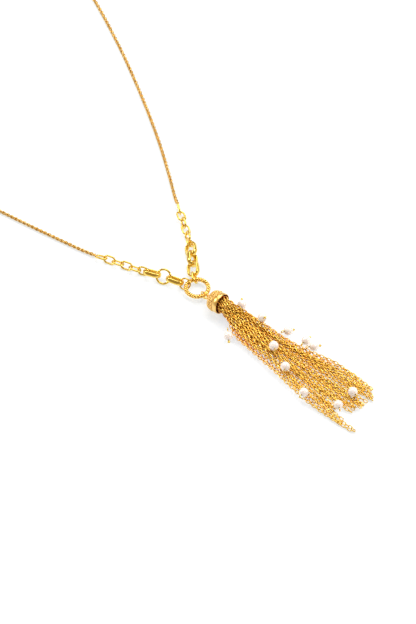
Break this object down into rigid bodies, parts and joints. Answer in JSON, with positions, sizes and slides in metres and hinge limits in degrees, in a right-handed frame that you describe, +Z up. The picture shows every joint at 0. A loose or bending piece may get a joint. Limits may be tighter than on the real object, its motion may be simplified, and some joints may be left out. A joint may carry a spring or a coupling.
{
  "type": "tassel necklace",
  "caption": "Long necklace of rope chain, belcher links and a twisted ring, with a bell cap, a tassel of fine chains and pearls on pins, lying flat.",
  "frame": {"origin": "on the surface that the necklace lies on, below the middle of its overall box", "axes": "+Y from the tassel's side towards the back of the neck loop, the longest extent; +X to the right of someone who sees it with the tassel nearer; +Z up, away from the surface"},
  "size_m": [0.3076, 0.369, 0.0117],
  "materials": {
    "polished_gold": "bright yellow gold plate, polished",
    "rope_gold": "darker gold plate of the rope chain, with a worn shine",
    "tassel_gold": "yellow gold plate of the fine chains, bright on their outsides and dark between",
    "pearl": "white pearl with a faint pink lustre, slightly uneven"
  },
  "bodies": {
    "root": {"rope_chain_left": "rope_gold", "rope_chain_right": "rope_gold", "clasp": "polished_gold", "clasp_link": "polished_gold", "clasp_ring": "polished_gold", "left_small_link_1": "polished_gold", "left_small_link_2": "polished_gold", "left_small_link_3": "polished_gold", "left_small_link_4": "polished_gold", "left_small_link_5": "polished_gold", "left_end_link": "polished_gold", "left_wide_link_1": "polished_gold", "left_round_link": "polished_gold", "left_wide_link_2": "polished_gold", "left_jump_ring": "polished_gold", "twisted_ring": "polished_gold", "right_jump_link": "polished_gold", "right_wide_link_1": "polished_gold", "right_wide_link_2": "polished_gold", "right_wide_link_3": "polished_gold", "right_end_link": "polished_gold", "right_small_link_1": "polished_gold", "right_small_link_2": "polished_gold", "right_small_link_3": "polished_gold", "right_small_link_4": "polished_gold", "right_small_link_5": "polished_gold", "bail_link": "polished_gold", "tassel_cap": "polished_gold", "tassel": "tassel_gold", "pearl_1": "pearl", "pearl_2": "pearl", "pearl_3": "pearl", "pearl_4": "pearl", "pearl_5": "pearl", "pearl_6": "pearl", "pearl_7": "pearl", "pearl_8": "pearl", "pearl_9": "pearl", "pearl_10": "pearl", "pearl_11": "pearl", "head_pin_1": "polished_gold", "head_pin_2": "polished_gold", "head_pin_3": "polished_gold", "head_pin_4": "polished_gold", "head_pin_5": "polished_gold", "head_pin_6": "polished_gold", "head_pin_7": "polished_gold", "head_pin_8": "polished_gold", "head_pin_9": "polished_gold", "head_pin_10": "polished_gold", "head_pin_11": "polished_gold"}
  },
  "joints": []
}
